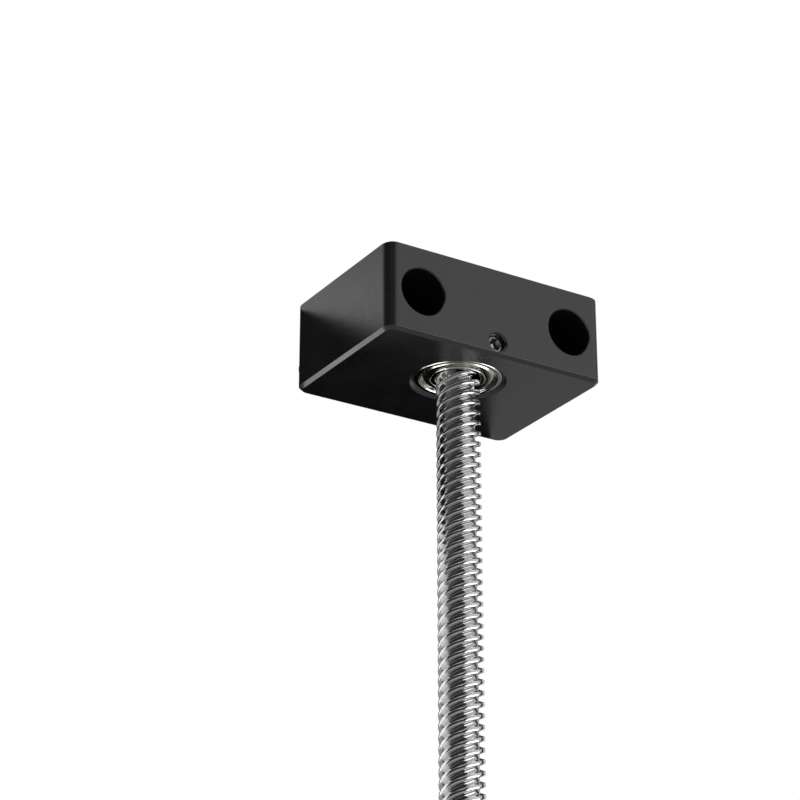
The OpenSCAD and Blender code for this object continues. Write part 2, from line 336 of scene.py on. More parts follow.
def vee_profile(major_r, depth, pitch):
    """One period of a metric screw thread, with each of its sides in four parts."""
    crest_share, root_share, parts = 0.14, 0.2, 4
    flank = (1 - crest_share - root_share) / 2
    corners = [
        (-0.5 * pitch, major_r - depth),
        (-(crest_share / 2 + flank) * pitch, major_r - depth),
        (-crest_share / 2 * pitch, major_r), (crest_share / 2 * pitch, major_r),
        ((crest_share / 2 + flank) * pitch, major_r - depth),
    ]
    points = []
    for (x0, r0), (x1, r1) in zip(corners, corners[1:] + [(0.5 * pitch, major_r - depth)]):
        points += [((x0 + (x1 - x0) * k / parts) / pitch, r0 + (r1 - r0) * k / parts)
                   for k in range(parts)]
    return points


def end_limit(z0, z1, end_r):
    """The radius that a 45 degree chamfer allows near each end. An end at infinity has none."""
    return lambda z: end_r + min(z - z0, z1 - z)


# ---------------------------------------------------------------- materials

# How much turned and rolled lines change along their own length
LINE_DRIFT = 0.02


class Nodes:
    """A short way to write a material's nodes."""

    def __init__(self, name):
        self.material = bpy.data.materials.new(name)
        self.material.use_nodes = True
        self.tree = self.material.node_tree
        self.shader = self.tree.nodes["Principled BSDF"]

    def new(self, kind, **values):
        node = self.tree.nodes.new(kind)
        for key, value in values.items():
            setattr(node, key, value)
        return node

    def link(self, source, target):
        self.tree.links.new(source, target)

    def feed(self, socket, value):
        if isinstance(value, (int, float)):
            socket.default_value = value
        else:
            self.link(value, socket)

    def math(self, operation, a, b=0.0):
        node = self.new("ShaderNodeMath", operation=operation)
        self.feed(node.inputs[0], a)
        self.feed(node.inputs[1], b)
        return node.outputs[0]

    def position(self):
        """Coordinates of the piece itself, split into X, Y and Z, in metres."""
        coord = self.new("ShaderNodeTexCoord")
        split = self.new("ShaderNodeSeparateXYZ")
        self.link(coord.outputs["Object"], split.inputs[0])
        return coord.outputs["Object"], split.outputs

    def noise(self, vector, scale, detail=4.0, rough=0.5):
        node = self.new("ShaderNodeTexNoise")
        node.inputs["Scale"].default_value = scale
        node.inputs["Detail"].default_value = detail
        node.inputs["Roughness"].default_value = rough
        self.link(vector, node.inputs["Vector"])
        return node.outputs["Fac"]

    def length(self, x, y):
        """Distance of the point (x, y) from the origin."""
        return self.math("SQRT", self.math("ADD", self.math("MULTIPLY", x, x),
                                           self.math("MULTIPLY", y, y)))

    def about_axis(self):
        """The piece's coordinates, X and Y from the screw's axis, Z and the radius."""
        place, (px, py, pz) = self.position()
        dx = self.math("SUBTRACT", px, AXIS.x * MM)
        dy = self.math("SUBTRACT", py, AXIS.y * MM)
        return place, dx, dy, pz, self.length(dx, dy)

    def ramp(self, value, low, high, at_low=0.0, at_high=1.0):
        node = self.new("ShaderNodeMapRange")
        self.feed(node.inputs["Value"], value)
        node.inputs["From Min"].default_value = low
        node.inputs["From Max"].default_value = high
        node.inputs["To Min"].default_value = at_low
        node.inputs["To Max"].default_value = at_high
        return node.outputs[0]

    def spread(self, noise, at_low=0.0, at_high=1.0):
        """A noise's usual span stretched to two values."""
        return self.ramp(noise, 0.3, 0.7, at_low, at_high)

    def colours(self, value, dark, light):
        node = self.new("ShaderNodeValToRGB")
        node.color_ramp.elements[0].color = (*dark, 1)
        node.color_ramp.elements[1].color = (*light, 1)
        self.feed(node.inputs[0], value)
        return node.outputs[0]

    def scale(self, colour, amount):
        """The colour multiplied by an amount."""
        node = self.new("ShaderNodeVectorMath", operation="SCALE")
        self.link(colour, node.inputs[0])
        self.feed(node.inputs["Scale"], amount)
        return node.outputs[0]

    def uprightness(self):
        """How far a face points along Z: 1 for a face square to it, 0 for a wall."""
        split = self.new("ShaderNodeSeparateXYZ")
        self.link(self.new("ShaderNodeTexCoord").outputs["Normal"], split.inputs[0])
        return self.math("ABSOLUTE", split.outputs[2])

    def bump(self, height, distance, strength, under=None):
        node = self.new("ShaderNodeBump")
        node.inputs["Strength"].default_value = strength
        node.inputs["Distance"].default_value = distance
        self.link(height, node.inputs["Height"])
        if under:
            self.link(under, node.inputs["Normal"])
        return node.outputs[0]

    def join(self, x, y, z):
        node = self.new("ShaderNodeCombineXYZ")
        for socket, value in zip(node.inputs, (x, y, z)):
            self.feed(socket, value)
        return node.outputs[0]


def anodised():
    """Bead-blasted aluminium with a satin black anodised skin."""
    n = Nodes("anodised_black")
    place, _ = n.position()
    grain = n.noise(place, 9000, 3)
    cloud = n.noise(place, 160, 4, 0.6)
    speck = n.noise(place, 2600, 2, 0.7)
    n.link(n.colours(n.spread(cloud), (0.0035, 0.0035, 0.0037), (0.0055, 0.0055, 0.0057)),
           n.shader.inputs["Base Color"])
    rough = n.math("ADD", n.spread(grain, -0.04, 0.04), n.spread(cloud, 0.27, 0.32))
    n.link(rough, n.shader.inputs["Roughness"])
    fine = n.bump(grain, 0.000012, 0.5)
    n.link(n.bump(speck, 0.00001, 0.3, fine), n.shader.inputs["Normal"])
    n.shader.inputs["Specular IOR Level"].default_value = 1.0
    return n.material


# How far a face has to point along the axis for its painted shade to begin, and to be full
FLAT_SHADE_FROM = 0.9
FLAT_SHADE_TO = 0.99


def turned_metal(name, dark, light, rough, lines=0.5, flat_shade=1.0):
    """Metal with fine circular lines round the screw's axis. Faces square to the axis
    get painted shade: their tone is multiplied by a factor below one, standing in for a dark reflection."""
    n = Nodes(name)
    place, dx, _, pz, radius = n.about_axis()
    along = n.join(radius, pz, n.math("MULTIPLY", dx, LINE_DRIFT))
    line = n.noise(along, 14000, 3, 0.6)
    smear = n.noise(place, 420, 4, 0.6)
    base = n.colours(n.spread(smear), dark, light)
    # Painted shade: faces square to the axis are darkened, standing in for a dark reflection.
    if flat_shade < 1:
        base = n.scale(base, n.ramp(n.uprightness(), FLAT_SHADE_FROM, FLAT_SHADE_TO, 1.0, flat_shade))
    n.link(base, n.shader.inputs["Base Color"])
    n.shader.inputs["Metallic"].default_value = 1.0
    spread = n.math("ADD", n.spread(line, -0.06, 0.06), n.spread(smear, rough - 0.05, rough + 0.05))
    n.link(spread, n.shader.inputs["Roughness"])
    n.link(n.bump(line, 0.00001, lines), n.shader.inputs["Normal"])
    return n.material


def thread_metal():
    """Rolled steel: fine lines that follow the helix, and painted shade that darkens the grooves."""
    n = Nodes("thread_steel")
    place, dx, dy, pz, radius = n.about_axis()
    turn = n.math("SUBTRACT", n.math("MULTIPLY", pz, TAU / (LEAD * MM)), n.math("ARCTAN2", dy, dx))
    reach = LEAD * MM / TAU
    helix = n.join(n.math("MULTIPLY", n.math("COSINE", turn), reach),
                   n.math("MULTIPLY", n.math("SINE", turn), reach),
                   n.math("ADD", n.math("MULTIPLY", pz, LINE_DRIFT), radius))
    line = n.noise(helix, 16000, 3, 0.6)
    smear = n.noise(place, 700, 4, 0.65)
    height = n.ramp(radius, SCREW_ROOT * MM, SCREW_CREST * MM)
    # Painted shade: the grooves' tone falls off from the crest towards the root.
    groove_shade = n.ramp(height, 0.0, 0.8, 0.65, 1.0)
    tone = n.math("MULTIPLY", n.ramp(smear, 0.25, 0.75, 0.8, 1.0), groove_shade)
    n.link(n.colours(tone, (0.12, 0.12, 0.125), (0.92, 0.92, 0.93)), n.shader.inputs["Base Color"])
    n.shader.inputs["Metallic"].default_value = 1.0
    rough = n.math("ADD", n.spread(line, -0.04, 0.04), n.spread(smear, 0.10, 0.16))
    n.link(rough, n.shader.inputs["Roughness"])
    n.link(n.bump(line, 0.00001, 0.3), n.shader.inputs["Normal"])
    return n.material


def oxide():
    """Black oxide on steel, with a thin uneven film of oil."""
    n = Nodes("black_oxide")
    place, _ = n.position()
    cloud = n.noise(place, 900, 5, 0.65)
    grain = n.noise(place, 12000, 2)
    n.link(n.colours(n.spread(cloud), (0.018, 0.018, 0.02), (0.045, 0.044, 0.044)),
           n.shader.inputs["Base Color"])
    n.shader.inputs["Metallic"].default_value = 0.6
    n.link(n.spread(cloud, 0.28, 0.42), n.shader.inputs["Roughness"])
    n.link(n.bump(grain, 0.000008, 0.4), n.shader.inputs["Normal"])
    return n.material


def moulded_rubber():
    """Slightly glossy cast polyurethane."""
    n = Nodes("spider_rubber")
    place, _ = n.position()
    cloud = n.noise(place, 500, 3)
    grain = n.noise(place, 7000, 3)
    n.link(n.colours(n.spread(cloud), (0.40, 0.012, 0.010), (0.52, 0.022, 0.016)),
           n.shader.inputs["Base Color"])
    n.link(n.spread(grain, 0.32, 0.45), n.shader.inputs["Roughness"])
    n.link(n.bump(grain, 0.00001, 0.4), n.shader.inputs["Normal"])
    return n.material


# Each slot's material. Turned metals: dark and light tone, roughness, lines, painted shade on flat faces.
MATERIALS = {
    "anodised_block": anodised(),
    "black_oxide_steel": oxide(),
    "grub_screw_steel": turned_metal("grub_steel", (0.28, 0.28, 0.29), (0.40, 0.40, 0.41), 0.16),
    "thread_steel": thread_metal(),
    # The bearing's and the shield's flat faces get painted shade, a darker tone that stands in for a dark
    # reflection.
    "bearing_steel": turned_metal("bearing_steel", (0.80, 0.80, 0.81), (0.92, 0.92, 0.93), 0.12,
                                  flat_shade=0.35),
    "shield_steel": turned_metal("shield_steel", (0.68, 0.70, 0.54), (0.84, 0.86, 0.68), 0.14, 0.6,
                                 flat_shade=0.6),
    "ball_steel": turned_metal("ball_steel", (0.72, 0.72, 0.74), (0.80, 0.80, 0.82), 0.10, 0.1),
    "cage_brass": turned_metal("cage_brass", (0.50, 0.36, 0.15), (0.62, 0.46, 0.20), 0.35),
    "nut_brass": turned_metal("nut_brass", (0.60, 0.42, 0.17), (0.74, 0.54, 0.24), 0.24, 0.8),
    "coupling_aluminium": turned_metal("coupling_aluminium", (0.73, 0.74, 0.76),
                                       (0.79, 0.80, 0.82), 0.28, 0.8),
    "spider_rubber": moulded_rubber(),
}


# ---------------------------------------------------------------- bearing block

# Radius of the arcs that soften the edges of holes
HOLE_SOFT = 0.08
# How far a cutting tool runs on past the metal
PAST = 1

# M5 socket screws, and their holes in the block
MOUNT_D = 5.0
MOUNT_PITCH = 0.8
MOUNT_KEY = 4.0
MOUNT_HEAD_H = 5.0
MOUNT_HOLE_R = 2.75
COUNTERBORE_GAP = 0.15
COUNTERBORE_CHAMFER = 0.2

# M4 grub screw, and its hole
GRUB_PITCH = 0.7
GRUB_THREAD_DEPTH = 0.34
GRUB_HOLE_R = 2.0
GRUB_KEY = 2.0
GRUB_STEPS = 24


def make_block():
    """The block, with rounded upright corners and a chamfer round its foot and its brow.
    A narrow ring inside the foot's chamfer keeps the lower face's shading even."""
    low, high = BLOCK
    middle = (low + high) / 2
    half_w, half_d = (high.x - low.x) / 2, (high.y - low.y) / 2
    edge_r, foot, brow, soft, border = 2.25, 0.6, 0.3, 0.12, 0.03
    corners = [(half_w, -half_d), (half_w, half_d), (-half_w, half_d), (-half_w, -half_d)]
    outline = rounded(corners, edge_r, steps=20)
    wall = rounded([(foot, low.z), (0, low.z + foot), (0, high.z - brow), (brow, high.z)],
                   soft, steps=3, closed=False)
    side = [(foot + soft, low.z), (foot + border, low.z), *wall[1:-1], (brow + soft, high.z)]
    rings = []
    for amount, z in side:
        moved = inset(outline, amount) if amount else outline
        rings.append([(p.x + middle.x, p.y + middle.y, z) for p in moved])
    block = loft("bearing_block_body", rings)
    combine(block, [*mount_hole_tools(), pocket_tool(), grub_hole_tool()])
    settle(block, "block", "bearing_block", "anodised_block")


def mouth(radius, z, chamfer, past=PAST):
    """Outline points of a hole's chamfered mouth at height z, opening upwards."""
    return rounded([(radius, z - chamfer * 3), (radius, z - chamfer), (radius + chamfer, z),
                    (radius + chamfer + past, z + past)], HOLE_SOFT, steps=3, closed=False)


def mount_hole_tools():
    """The counterbores and the through holes of the two mounting screws."""
    tools = []
    front, back = BLOCK[0].y, BLOCK[1].y
    for node in ("left_mount_screw", "right_mount_screw"):
        low, high = box_mm(node)
        x, _, z = middle_of((low, high))
        seat = low.y + MOUNT_HEAD_H
        bore_r = (high.x - low.x) / 2 + COUNTERBORE_GAP
        depth, end = seat - front, seat - back - PAST
        outline = [(0, end), (MOUNT_HOLE_R, end), (MOUNT_HOLE_R, 0), (bore_r, 0)]
        outline += mouth(bore_r, depth, COUNTERBORE_CHAMFER)
        outline += [(0, depth + PAST)]
        tools.append(lathe("mount_hole_tool", outline, facing_front(x, seat, z), 128))
    return tools


def pocket_tool():
    """The bearing's seat with its chamfered mouth below and the screw's hole above."""
    low, high = BLOCK
    gap, ledge, hole_r, chamfer, lip, relief_h = 0.01, 1.4, 5.0, 0.74, 0.5, 1
    ring_r = (RING[1].x - RING[0].x) / 2
    wall, relief = ring_r + gap, ring_r - ledge
    top = RING[1].z
    below = rounded([(wall + chamfer + PAST, low.z - PAST), (wall + chamfer, low.z),
                     (wall, low.z + chamfer), (wall, low.z + 2)],
                    HOLE_SOFT, steps=3, closed=False)
    outline = [(0, low.z - PAST), *below, (wall, top), (relief, top), (relief, top + relief_h),
               (hole_r, top + relief_h)]
    outline += mouth(hole_r, high.z, lip)
    outline += [(0, high.z + PAST)]
    return lathe("pocket_tool", outline, at(AXIS.x, AXIS.y, 0), 192)


def grub_hole_tool():
    """An M4 tapped hole from the front face into the bearing's seat."""
    x, _, z = middle_of(GRUB)
    front = BLOCK[0].y
    beyond_screw, run_out = 0.6, 0.4
    length = GRUB[1].y - front + beyond_screw
    sink_r, sink_depth, chamfer, sink_past = 1.6, 0.45, 0.4, 0.3
    place = facing_front(x, front, z)
    profile = vee_profile(GRUB_HOLE_R, GRUB_THREAD_DEPTH, GRUB_PITCH)
    rings = thread_rings(profile, 1, GRUB_PITCH, -length, run_out, GRUB_STEPS)
    tool = loft("grub_hole_tool", rings, place)
    countersink = lathe("countersink_tool", [
        (0, -sink_depth), (sink_r, -sink_depth), *mouth(sink_r, 0.0, chamfer, sink_past)[1:],
        (0, sink_past)
    ], place, 64)
    return combine(tool, [countersink], "UNION")


# ---------------------------------------------------------------- screws

# One knurl of a head 8.5 mm wide: share of the knurl, and depth
KNURL = ((0.0, 0.0), (0.25, 0.03), (0.5, 0.12), (0.75, 0.03))
KNURLED_D = 8.5
KNURLS = 32


def knurled_head(d, height, place):
    """A socket screw's head, with fine straight knurling and rounded ends."""
    outline = []
    for i in range(KNURLS):
        for share, depth in KNURL:
            outline.append(on_circle(d / 2 - depth * d / KNURLED_D, TAU * (i + share) / KNURLS))
    return plate("head", outline, 0, height, 0.04 * d, 0.07 * d, place)


def make_cap_screw(name, d, head_d, head_h, length, key, pitch, place):
    """Socket head cap screw: head above z = 0 of place, threaded shank below it."""
    depth, into_head, socket_foot = pitch * 0.6, 0.3, head_h * 0.45
    limit = end_limit(-length, math.inf, d / 2 - depth)
    profile = vee_profile(d / 2, depth, pitch)
    shank = loft("shank", thread_rings(profile, 1, pitch, -length, into_head, 20, limit), place)
    screw = combine(knurled_head(head_d, head_h, place), [shank], "UNION")
    combine(screw, [hex_tool(key, socket_foot, head_h, place)])
    screw.name = name
    return screw


def hex_tool(key, z0, z1, place):
    """A hexagonal socket with a cone at its foot and a chamfered mouth at z1."""
    corner = key / math.sqrt(3)
    hexagon = rounded([on_circle(corner, TAU * i / 6) for i in range(6)], 0.04 * key, steps=3)

    def level(size, z):
        return [(p.x * size, p.y * size, z) for p in hexagon]
    return loft("hex_tool", [level(0.05, z0 - 0.18 * key), level(0.97, z0), level(1, z0 + 0.05),
                             level(1, z1 - 0.05 * key), level(1.16, z1 + 0.05 * key)], place)


def make_mount_screws():
    # The shank is this much short of the CAD's end, so that rounding doesn't take it past
    short = 0.001
    for side in ("left", "right"):
        node = f"{side}_mount_screw"
        low, high = box_mm(node)
        x, _, z = middle_of((low, high))
        length = high.y - low.y - MOUNT_HEAD_H - short
        screw = make_cap_screw(f"{side}_mount_cap_screw", MOUNT_D, high.x - low.x, MOUNT_HEAD_H,
                               length, MOUNT_KEY, MOUNT_PITCH,
                               facing_front(x, low.y + MOUNT_HEAD_H, z))
        settle(screw, "block", node, "black_oxide_steel")


def make_grub_screw():
    """The socket grub screw in the front face, which holds the bearing."""
    low, high = GRUB
    x, _, z = middle_of(GRUB)
    length, r = high.y - low.y, (high.x - low.x) / 2
    gap, end_step, socket_depth = 0.06, 0.55, 1.8
    place = facing_front(x, high.y, z)
    profile = vee_profile(r - gap, GRUB_THREAD_DEPTH, GRUB_PITCH)
    limit = end_limit(0, length, r - end_step)
    rings = thread_rings(profile, 1, GRUB_PITCH, 0, length, GRUB_STEPS, limit)
    screw = loft("bearing_socket_grub_screw", rings, place)
    combine(screw, [hex_tool(GRUB_KEY, length - socket_depth, length, place)])
    settle(screw, "block", "bearing_grub_screw", "grub_screw_steel")


# ---------------------------------------------------------------- bearing

BEARING_BORE_R = 4.0
# The balls' groove, and half of the open space between the two rings
GROOVE_R = 1.1
HALF_GAP = 0.65
TURNED_SEGMENTS = 192


def make_bearing():
    half = (RING[1].z - RING[0].z) / 2
    outer_r = (RING[1].x - RING[0].x) / 2
    pitch_r = (outer_r + BEARING_BORE_R) / 2
    place = at(*middle_of(RING))
    make_outer_ring(pitch_r, outer_r, half, place)
    make_inner_ring(pitch_r, half, place)
    for name, flip in (("lower", Matrix.Scale(-1, 4, (0, 0, 1))), ("upper", Matrix.Identity(4))):
        make_shield(name, pitch_r, place @ flip)
        make_snap_ring(name, pitch_r, place @ flip)
    for node, obj in frame["nodes"].items():
        if node.startswith("bearing_ball_"):
            paint(obj, "ball_steel")
        if node.startswith("cage_half_"):
            paint(obj, "cage_brass")


def ring_outline(upper, radii, pitch_r, away):
    """A bearing ring's section from its upper half, from the ball groove to the far side,
    and the groove itself. The ring's metal lies away from the balls, 1 out or -1 in."""
    lower = [(r, -z) for r, z in reversed(upper)]
    outline = rounded(upper + lower, radii + radii[::-1], steps=5)
    edge, count = math.acos(HALF_GAP / GROOVE_R), 14
    for k in range(count + 1):
        a = 2 * edge * k / count - edge
        outline.append(Vector((pitch_r + away * GROOVE_R * math.cos(a), GROOVE_R * math.sin(a))))
    return outline


def make_outer_ring(pitch_r, outer_r, half, place):
    """The outer ring, with a shelf for the shield and a slot for the snap ring each side."""
    shoulder, seat, slot = pitch_r + HALF_GAP, pitch_r + 1.05, pitch_r + 1.3
    shelf, slot_foot, slot_top = 1.7, 1.95, 2.25
    upper = [(shoulder, shelf), (seat, shelf), (seat, slot_foot), (slot, slot_foot),
             (slot, slot_top), (seat, slot_top), (seat, half), (outer_r, half)]
    radii = [0.03, 0.02, 0.02, 0.02, 0.02, 0.02, 0.12, 0.3]
    outline = ring_outline(upper, radii, pitch_r, 1)
    settle(lathe("bearing_outer_race", outline, place, TURNED_SEGMENTS), "block",
           "bearing_outer_ring", "bearing_steel")


def make_inner_ring(pitch_r, half, place):
    shoulder, land, step = pitch_r - HALF_GAP, pitch_r - 1.05, 1.5
    upper = [(shoulder, step), (land, step), (land, half), (BEARING_BORE_R, half)]
    outline = ring_outline(upper, [0.04, 0.05, 0.1, 0.3], pitch_r, -1)
    settle(lathe("bearing_inner_race", outline, place, TURNED_SEGMENTS), "screw",
           "bearing_inner_ring", "bearing_steel")


def make_shield(name, pitch_r, place):
    """Pressed sheet: a flat rim, a step up and a raised middle with a curled inner edge."""
    t, z0, rise, lean = 0.21, 1.72, 0.33, 0.1
    rim, bore = pitch_r + 1.03, pitch_r - 0.8
    foot, brow = pitch_r + 0.68, pitch_r + 0.16
    outline = rounded([
        (rim, z0), (rim, z0 + t), (foot, z0 + t), (brow, z0 + t + rise),
        (bore, z0 + t + rise), (bore, z0 + rise), (brow - lean, z0 + rise), (foot - lean, z0)
    ], [0.03, 0.03, 0.5, 0.6, 0.14, 0.03, 0.4, 0.4], steps=8)
    settle(lathe(f"shield_disc_{name}", outline, place, TURNED_SEGMENTS), "block",
           f"bearing_shield_{name}", "shield_steel")


def make_snap_ring(name, pitch_r, place):
    """Open ring of flattened wire, with rounded ends at its gap."""
    inner, outer, z0, z1 = pitch_r + 0.85, pitch_r + 1.28, 1.97, 2.23
    wire_soft, end_size = 0.125, 0.75
    gap_at, gap_half, count = math.radians(104), math.radians(6), 180
    section = rounded([(inner, z0), (outer, z0), (outer, z1), (inner, z1)], wire_soft, steps=6)
    middle = Vector(((inner + outer) / 2, (z0 + z1) / 2))
    rings = []
    for k in range(count + 1):
        a = gap_at + gap_half + (TAU - 2 * gap_half) * k / count
        size = end_size if k in (0, count) else 1.0
        rings.append([
            (p.x * math.cos(a), p.x * math.sin(a), p.y)
            for p in (middle + (q - middle) * size for q in section)
        ])
    settle(loft(f"snap_ring_wire_{name}", rings, place), "block", f"shield_snap_ring_{name}",
           "bearing_steel")


# ---------------------------------------------------------------- lead screw and nut

# Width of the thread's crests, and of its grooves' floors
THREAD_FLAT = 0.37 * THREAD_PITCH
THREAD_STEPS = 64


def make_lead_screw():
    low, high = SCREW
    crown, end_step = 0.07, 0.1
    profile = trapezoid_profile(SCREW_CREST, SCREW_ROOT, THREAD_PITCH, THREAD_FLAT, THREAD_FLAT,
                                crown)
    limit = end_limit(low.z, high.z, SCREW_ROOT - end_step)
    rings = thread_rings(profile, STARTS, THREAD_PITCH, low.z, high.z, THREAD_STEPS, limit)
    settle(loft("lead_screw_thread", rings, at(AXIS.x, AXIS.y, 0)), "screw", "lead_screw",
           "thread_steel")


def make_nut():
    """A round barrel with a flange near its top, four holes in it and a threaded bore."""
    low, high = NUT
    flange_r = (high.x - low.x) / 2
    barrel_r, boss, flange_t = 5.1, 1.5, 3.5
    f1 = high.z - boss
    f0 = f1 - flange_t
    outline = rounded([
        (0, low.z), (barrel_r, low.z), (barrel_r, f0), (flange_r, f0), (flange_r, f1),
        (barrel_r, f1), (barrel_r, high.z), (0, high.z)
    ], [0, 0.4, 0.15, 0.25, 0.25, 0.15, 0.3, 0], steps=4)
    nut = lathe("flanged_nut", outline, at(AXIS.x, AXIS.y, 0), 160)
    combine(nut, nut_thread_tools(low.z, high.z) + flange_hole_tools(f1, flange_t))
    settle(nut, "nut", "lead_screw_nut", "nut_brass")


def nut_thread_tools(z0, z1):
    """The nut's thread, a little wider than the screw's, and a cone at each mouth."""
    gap, cone_rise = 0.12, 0.35
    slack = 2 * gap * 0.8
    place = at(AXIS.x, AXIS.y, 0)
    profile = trapezoid_profile(SCREW_CREST + gap, SCREW_ROOT + gap, THREAD_PITCH,
                                THREAD_FLAT + slack, THREAD_FLAT - slack)
    rings = thread_rings(profile, STARTS, THREAD_PITCH, z0 - PAST, z1 + PAST, THREAD_STEPS)
    tools = [loft("nut_thread_tool", rings, place)]
    wide = SCREW_CREST + gap + cone_rise
    for z, way in ((z0, -1), (z1, 1)):
        foot = z - way * (wide - SCREW_ROOT)
        cone = [(0, z + way), (wide + PAST, z + way), (wide, z), (SCREW_ROOT, foot), (0, foot)]
        tools.append(lathe("nut_mouth_tool", cone, place, 96))
    return tools


def flange_hole_tools(top, thickness):
    """The nut's four fixing holes, chamfered at the flange's top."""
    hole_r, circle_r, chamfer = 1.75, 8, 0.15
    foot = -thickness - PAST
    hole = [(0, foot), (hole_r, foot), *mouth(hole_r, 0, chamfer), (0, PAST)]
    tools = []
    for k in range(4):
        centre = on_circle(circle_r, math.radians(45 + 90 * k))
        place = at(AXIS.x + centre.x, AXIS.y + centre.y, top)
        tools.append(lathe("flange_hole_tool", hole, place, 64))
    return tools


# ---------------------------------------------------------------- coupling

HUB_LENGTH = 10.5
# M2.5 clamp screws, and how far the hub's seat for their heads is from the slit's middle
CLAMP_D = 2.5
CLAMP_PITCH = 0.45
CLAMP_KEY = 2.0
CLAMP_HEAD_D = 4.5
CLAMP_HEAD_H = 2.5
CLAMP_LENGTH = 8.0
CLAMP_SEAT = 1.5
CLAMP_OFFSET = 6.9


def sector_outline(inner, outer, room, soft):
    """One jaw seen from above: the part of a ring that lies past room in X and in Y."""
    def arc(radius, count):
        first = math.asin(room / radius)
        sweep = math.pi / 2 - 2 * first
        return [on_circle(radius, first + sweep * k / count) for k in range(count + 1)]
    outer_steps, inner_steps = 16, 6
    radii = [soft, *[0] * (outer_steps - 1), soft, soft, *[0] * (inner_steps - 1), soft]
    return rounded(arc(outer, outer_steps) + arc(inner, inner_steps)[::-1], radii, steps=4)


def make_hub(name, node, bore_r, place):
    """A hub with two jaws up, a clamping slit and its screw's seat, open end at z = 0."""
    outer = (UPPER_HUB[1].x - UPPER_HUB[0].x) / 2
    outline = rounded([(0, 0), (outer, 0), (outer, HUB_LENGTH), (0, HUB_LENGTH)],
                      [0, 0.6, 0.15, 0], steps=5)
    body = lathe(name, outline, place, 160)
    combine(body, jaws(outer, place), "UNION")
    across = place @ at(0, -CLAMP_OFFSET, HUB_LENGTH / 2) @ Matrix.Rotation(math.pi / 2, 4, "Y")
    combine(body, [hub_bore_tool(bore_r, place), slit_tool(outer, place),
                   clamp_seat_tool(outer, across)])
    settle(body, "screw", node, "coupling_aluminium")
    screw_node = node.replace("hub", "clamp_screw")
    screw = make_cap_screw(screw_node.replace("clamp", "clamping"), CLAMP_D, CLAMP_HEAD_D,
                           CLAMP_HEAD_H, CLAMP_LENGTH, CLAMP_KEY, CLAMP_PITCH,
                           across @ at(0, 0, CLAMP_SEAT))
    settle(screw, "screw", screw_node, "black_oxide_steel")


def jaws(outer, place):
    """Two jaws, which start inside the hub and leave room for the spider's legs."""
    inner, room, gap, soft, root, brow = 4.6, 2.2, 0.01, 0.3, 1, 0.35
    top = UPPER_HUB[1].z - UPPER_HUB[0].z
    outline = sector_outline(inner, outer - gap, room, soft)
    return [plate("jaw", outline, HUB_LENGTH - root, top, 0, brow,
                  place @ Matrix.Rotation(turn, 4, "Z")) for turn in (0, math.pi)]


def hub_bore_tool(r, place):
    """A hub's bore of radius r, chamfered at both ends."""
    chamfer, inner_chamfer = 0.4, 0.3
    return lathe("bore_tool", [
        (0, -PAST), (r + chamfer + PAST, -PAST), (r + chamfer, 0), (r, chamfer),
        (r, HUB_LENGTH - inner_chamfer), (r + inner_chamfer + PAST, HUB_LENGTH + PAST),
        (0, HUB_LENGTH + PAST)
    ], place, 96)


def slit_tool(outer, place):
    """The slit that lets a hub close on its shaft, from its side to its bore."""
    half_w, above = 0.5, 0.1
    corners = [(-half_w, -outer - PAST), (half_w, -outer - PAST), (half_w, 0), (-half_w, 0)]
    return plate("slit_tool", [Vector(p) for p in corners], -PAST, HUB_LENGTH + above, place=place)


def clamp_seat_tool(outer, place):
    """The clamp screw's hole, and the round seat for its head."""
    hole_r, seat_r = 1.27, 2.4
    return lathe("seat_tool", [
        (0, -outer - PAST), (hole_r, -outer - PAST), (hole_r, CLAMP_SEAT), (seat_r, CLAMP_SEAT),
        (seat_r, outer), (0, outer)
    ], place, 64)


def make_spider():
    """Four rounded legs on a ring, with soft edges."""
    low, high = SPIDER
    reach = (high.x - low.x) / 2
    leg, hub, bore, soft = 2.1, 4.4, 3.0, 0.35
    place = at(AXIS.x, AXIS.y, 0)
    side = math.sqrt(hub ** 2 - leg ** 2)
    corners, radii = [], []
    for k in range(4):
        turn = Matrix.Rotation(math.pi / 2 * k, 2)
        for x, y, r in ((side, -leg, 0.5), (reach, -leg, 2.0), (reach, leg, 2.0), (side, leg, 0.5)):
            corners.append(turn @ Vector((x, y)))
            radii.append(r)
    outline = rounded(corners, radii, steps=8)
    spider = plate("rubber_spider", outline, low.z, high.z, soft, soft, place)
    wide, chamfer = bore + 0.2 + PAST, 0.2
    centre = lathe("spider_bore_tool", [
        (0, low.z - PAST), (wide, low.z - PAST), (bore, low.z + chamfer),
        (bore, high.z - chamfer), (wide, high.z + PAST), (0, high.z + PAST)
    ], place, 96)
    combine(spider, [centre])
    settle(spider, "screw", "coupling_spider", "spider_rubber")


def make_coupling():
    """Two hubs that face each other with their jaws, and the spider between them."""
    upper = at(AXIS.x, AXIS.y, UPPER_HUB[1].z) @ Matrix.Rotation(math.pi, 4, "X")
    make_hub("upper_jaw_hub", "coupling_upper_hub", 4.0, upper)
    make_hub("lower_jaw_hub", "coupling_lower_hub", 2.5, at(AXIS.x, AXIS.y, LOWER_HUB[0].z))
    make_spider()


# ---------------------------------------------------------------- stage

# The view: angles in degrees, distances in millimetres.
VIEW_AZIMUTH = -31.89
VIEW_ELEVATION = -23.94
VIEW_DISTANCE = 437.35
VIEW_SIDE = -12.28
VIEW_RISE = -15.01
FOCAL_LENGTH = 111.7
SENSOR_WIDTH = 36

# Points that the lights face, in metres
SCREW_AIM = (0, -0.02, -0.04)
LEFT_FACE_AIM = (-0.02, -0.016, -0.0085)
BEARING_AIM = (0, -0.02, -0.01)
